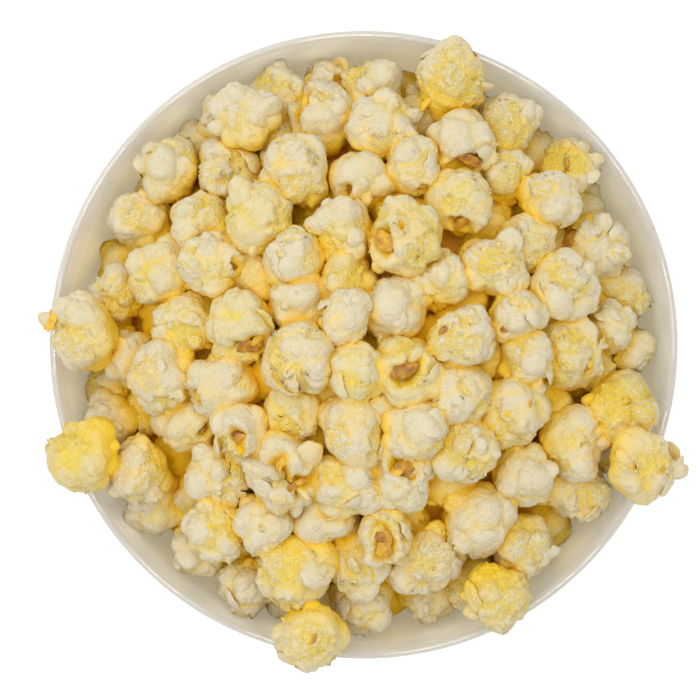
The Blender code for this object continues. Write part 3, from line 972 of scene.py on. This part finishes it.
# Place in the picture, length and width (mm), turn from the picture's right (degrees), how brown
HULLS = (
    (470, 164, 9, 5.5, -25, 0.6), (489, 152, 4.5, 2, 20, 0.2), (380, 242, 8.5, 6.5, -20, 0.45),
    (404, 229, 3, 2.2, 0, 0.3), (250, 350, 8.5, 5, -10, 0.6), (263, 340, 7, 3.5, 30, 0.15),
    (236, 363, 6, 3, -20, 0.1), (282, 456, 10, 3.2, 80, 0.3), (291, 497, 9.5, 4, 85, 0.5),
    (302, 484, 5, 2.4, 20, 0.4), (407, 464, 8, 5.5, 20, 0.6), (396, 470, 5, 4, 60, 0.2),
    (565, 237, 9, 7, 20, 0.5), (584, 217, 11, 6.5, 15, 0.0), (301, 108, 8, 3, 85, 0.1),
    (341, 84, 5, 3, 70, 0.6), (470, 51, 5.5, 2.2, -35, 0.7), (240, 440, 4.5, 4, 30, 0.5),
    (236, 434, 3.5, 2.5, 0, 0.9), (196, 399, 5, 3.5, 10, 0.15), (206, 430, 3.6, 2, 40, 0.7),
    (620, 455, 5, 1.6, -35, 0.7), (566, 162, 4, 1.2, 85, 0.5), (505, 412, 6.2, 4.2, 0, 0.0),
    (627, 400, 3, 2.4, 60, 0.0), (592, 364, 4, 3, 30, 0.0), (405, 370, 9, 5, 20, 0.65),
    (460, 226, 7, 3, 65, 0.5), (466, 250, 3, 2, 20, 0.5), (349, 190, 4.5, 2, 60, 0.8),
    (424, 190, 3, 3, 0, 0.5), (384, 548, 9, 5, 80, 0.35), (378, 538, 5, 4, 20, 0.7),
    (48, 319, 8, 5, -40, 0.2), (236, 267, 5, 3, -10, 0.8), (590, 372, 3, 2, 60, 0.1),
    (505, 328, 4, 3, 40, 0.7), (313, 640, 3.5, 2, 60, 0.4), (530, 405, 3, 2, 80, 0.5),
    (670, 478, 4, 4, 0, -0.1), (441, 330, 4, 2, 30, 0.6),
)

hull_skin, place = surface(
    "grain_hull", {"Specular IOR Level": 0.3, "Coat Weight": 0.2, "Coat Roughness": 0.12}
)
brown = place.node("ShaderNodeAttribute", {"attribute_name": "brown"}, {}, "Fac")
streak = place.node("ShaderNodeTexNoise", {}, {"Vector": place, "Scale": 380, "Detail": 4})
shade = (brown + (streak - 0.5) * 1.3).eased(0, 1)
shade = place.node(
    "ShaderNodeValToRGB",
    {
        "stops": [
            (0.0, (0.86, 0.56, 0.05, 1)),
            (0.4, (0.70, 0.36, 0.04, 1)),
            (0.75, (0.48, 0.22, 0.03, 1)),
            (1.0, (0.26, 0.10, 0.02, 1)),
        ]
    },
    {"Fac": shade},
    "Color",
)
ribs = place.node("ShaderNodeTexNoise", {}, {"Vector": place, "Scale": 700, "Detail": 2})
creased = place.node("ShaderNodeBump", {}, {"Strength": 0.4, "Distance": 0.3 * MM, "Height": ribs})
finish(hull_skin, {"Base Color": shade, "Roughness": streak * 0.3 + 0.2, "Normal": creased})


def hull_form():
    """All shards in one bmesh: each a thin shell, bent like the grain that it was part of."""
    ways, faces = even_ball(HULL_CUTS)
    form = bmesh.new()
    browns = []
    right, up, back = camera_axes()
    for number, (across, down, length, width, turn, brown_share) in enumerate(HULLS):
        draw = np.random.RandomState(HULL_SEED + number)
        kernel_number, way = seen_at(across, down)
        angle = math.radians(turn)
        along = math.cos(angle) * right + math.sin(angle) * up
        along = unit(along - (along @ way) * way)
        aside = np.cross(way, along)
        reach = radii[kernel_number] * 0.98
        if kernel_number in on_clefts:
            reach -= HULL_IN_CLEFT
        flat = ways * np.array([length, width, 0]) * MM * HULL_SPREAD / 2
        bow = HULL_BOW * (0.5 - ways[:, 0] ** 2 - 1.3 * ways[:, 1] ** 2)
        bow += HULL_WAVE * wander(ways * np.array([1, 1, 0]), 0.6, 2.3 * number)
        ragged = 1 + 0.35 * wander(ways * np.array([1, 1, 0]), 0.45, 3.1 * number)
        thick = ways[:, 2] * HULL_THICKNESS / 2
        flat = flat * ragged[:, None]
        middle = centres[kernel_number] + way * reach
        middle += HULL_LIFT * radii[kernel_number] * (1 - way @ back) ** 3 * back
        lift = unit(way + (1 - way @ back) * back + 0.25 * draw.normal(size=3))
        local = np.stack([flat[:, 0], flat[:, 1], bow + thick], axis=1)
        aside = unit(np.cross(lift, along))
        along = np.cross(aside, lift)
        points = middle + local @ np.stack([along, aside, lift])
        made = [form.verts.new(point) for point in points]
        for face in faces:
            form.faces.new([made[i] for i in face])
        browns += [brown_share] * len(points)
    return form, browns


form, browns = hull_form()
hulls = piece("hulls", form, hull_skin)
kept = hulls.data.attributes.new("brown", "FLOAT", "POINT")
kept.data.foreach_set("value", np.array(browns, np.float32))
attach(hulls, "root")
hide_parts("popcorn_heap")

# The popcorn under the top layers: what fills the bucket down to its floor, seen only at the
# bottom of the gaps between kernels, and coloured deep orange there as painted shade.
CORE_DEPTH = 31 * MM
CORE_SHOULDER = 14 * MM
CORE_GAP = 1 * MM
CORE_LUMP = 9 * MM
CORE_STEPS = 96
CORE_RINGS = 26

shoulder = RIM_RADIUS - WALL - CORE_SHOULDER
reaches = [shoulder * i / CORE_RINGS for i in range(CORE_RINGS + 1)]
top = [(r, float(crest(r)) + BUCKET_HEIGHT - CORE_DEPTH) for r in reaches]
mouth = RIM_RADIUS - WALL - CORE_GAP * math.hypot(1, WALL_TAPER)
side = BUCKET_HEIGHT + CREST_AT_WALL - CORE_DEPTH
edge = (mouth - WALL_TAPER * (BUCKET_HEIGHT - side), side)
low = corner(mouth, FLOOR_TOP + CORE_GAP, INNER_CORNER, 8)
core_profile = top + [edge] + straight(edge, low[0], 12) + low + [(0, FLOOR_TOP + CORE_GAP)]
form = turned(core_profile, CORE_STEPS)
points = np.array([vertex.co for vertex in form.verts])
lump = 0.5 * CORE_LUMP * np.abs(wander(points, 15 * MM, 0.3)) * (points[:, 2] > side + 2 * MM)
for vertex, rise in zip(form.verts, lump):
    vertex.co.z += rise

filling, place = surface("popcorn_filling_painted_shade", {"Subsurface Weight": 0.2, "Subsurface Scale": 2 * MM})
patch = place.node("ShaderNodeTexNoise", {}, {"Vector": place, "Scale": 90, "Detail": 4})
# Painted shade: deep orange in place of the popcorn's cream, for the warm shade at the bottom of
# the gaps.
tint = patch.eased(0.3, 0.7).blend((1.0, 0.45, 0.01, 1), (1.0, 0.56, 0.02, 1))
rough = place.node("ShaderNodeBump", {}, {"Strength": 0.8, "Distance": 2 * MM, "Height": patch})
finish(filling, {"Base Color": tint, "Roughness": patch * 0.2 + 0.6, "Normal": rough})
core = piece("popcorn_filling_painted_shade", form, filling)
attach(core, "root")
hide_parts("popcorn_heap")

# The floor: a wide sheet of white board, smooth and matt. It glows a little, so that it stays
# white to the edges of the picture as it does under a photographer's lamps.
FLOOR_SIDE = 6.0
floor_form = bmesh.new()
bmesh.ops.create_grid(floor_form, x_segments=1, y_segments=1, size=FLOOR_SIDE / 2)
pale, place = surface(
    "pale_floor",
    {"Specular IOR Level": 0.2, "Emission Color": (1, 1, 1, 1), "Emission Strength": 0.34},
)
dust = place.node("ShaderNodeTexNoise", {}, {"Vector": place, "Scale": 6, "Detail": 2})
tint = dust.blend((0.94, 0.94, 0.94, 1), (0.96, 0.96, 0.96, 1))
finish(pale, {"Base Color": tint, "Roughness": dust * 0.05 + 0.65})
floor = piece("floor", floor_form, pale, smooth=False)

# Studio light: a wide soft panel to the upper left, a ring of narrow lamps in banks round the
# camera, which draws the fine highlights on the rim, and a pale room. The camera is made here too,
# from the place that the features above are seen from.
PANEL_POWER = 4.0
PANEL_SIDE = 1.3
PANEL_PLACE = Vector((-0.5, 0.4, 1.1))
RING_LAMPS = 364
LAMPS_IN_BANK = 18
BANK_PITCH = 28
RING_RADIUS = 0.217
RING_LIFT = 0.52
LAMP_LENGTH = 0.05
LAMP_WIDTH = 0.0014
RING_STRENGTH = 16.0
ROOM_STRENGTH = 0.66

panel = bpy.data.lights.new("panel", "AREA")
panel.size = PANEL_SIDE
panel.energy = PANEL_POWER
panel.color = (1.0, 0.985, 0.95)
hung = bpy.data.objects.new("panel", panel)
hung.matrix_world = Matrix.Translation(PANEL_PLACE)
hung.rotation_mode = "QUATERNION"
hung.rotation_quaternion = (PANEL_PLACE - Vector((0, 0, BUCKET_HEIGHT))).to_track_quat("Z", "Y")
bpy.context.scene.collection.objects.link(hung)

ring_form = bmesh.new()
lit_lamps = [lamp for lamp in range(RING_LAMPS) if lamp % BANK_PITCH < LAMPS_IN_BANK]
for lamp in lit_lamps:
    turn = Matrix.Rotation(2 * math.pi * lamp / RING_LAMPS, 4, "Z")
    at = turn @ Matrix.Translation((RING_RADIUS, 0, BUCKET_HEIGHT + RING_LIFT))
    size = Matrix.Diagonal((LAMP_LENGTH / 2, LAMP_WIDTH / 2, 1, 1))
    lamp_place = at @ Matrix.Rotation(math.pi, 4, "X") @ size
    bmesh.ops.create_grid(ring_form, x_segments=1, y_segments=1, size=1, matrix=lamp_place)
glowing, _ = surface(
    "lamp_glow",
    {
        "Base Color": (0, 0, 0, 1),
        "Emission Color": (1, 0.98, 0.94, 1),
        "Emission Strength": RING_STRENGTH,
    },
)
ring = piece("ring_of_lamps", ring_form, glowing, smooth=False)

room = bpy.data.worlds.new("room")
room.use_nodes = True
room.node_tree.nodes["Background"].inputs["Color"].default_value = (1, 1, 1, 1)
room.node_tree.nodes["Background"].inputs["Strength"].default_value = ROOM_STRENGTH
bpy.context.scene.world = room
bpy.context.scene.view_settings.view_transform = "Standard"

right, up, back = camera_axes()
lens = bpy.data.cameras.new("camera")
lens.lens = CAMERA_LENS
lens.sensor_width = CAMERA_SENSOR
lens.clip_start = 0.01
camera = bpy.data.objects.new("camera", lens)
turned_axes = Matrix((right, up, back)).transposed().to_4x4()
camera.matrix_world = Matrix.Translation(CAMERA_PLACE) @ turned_axes
bpy.context.scene.collection.objects.link(camera)
bpy.context.scene.camera = camera
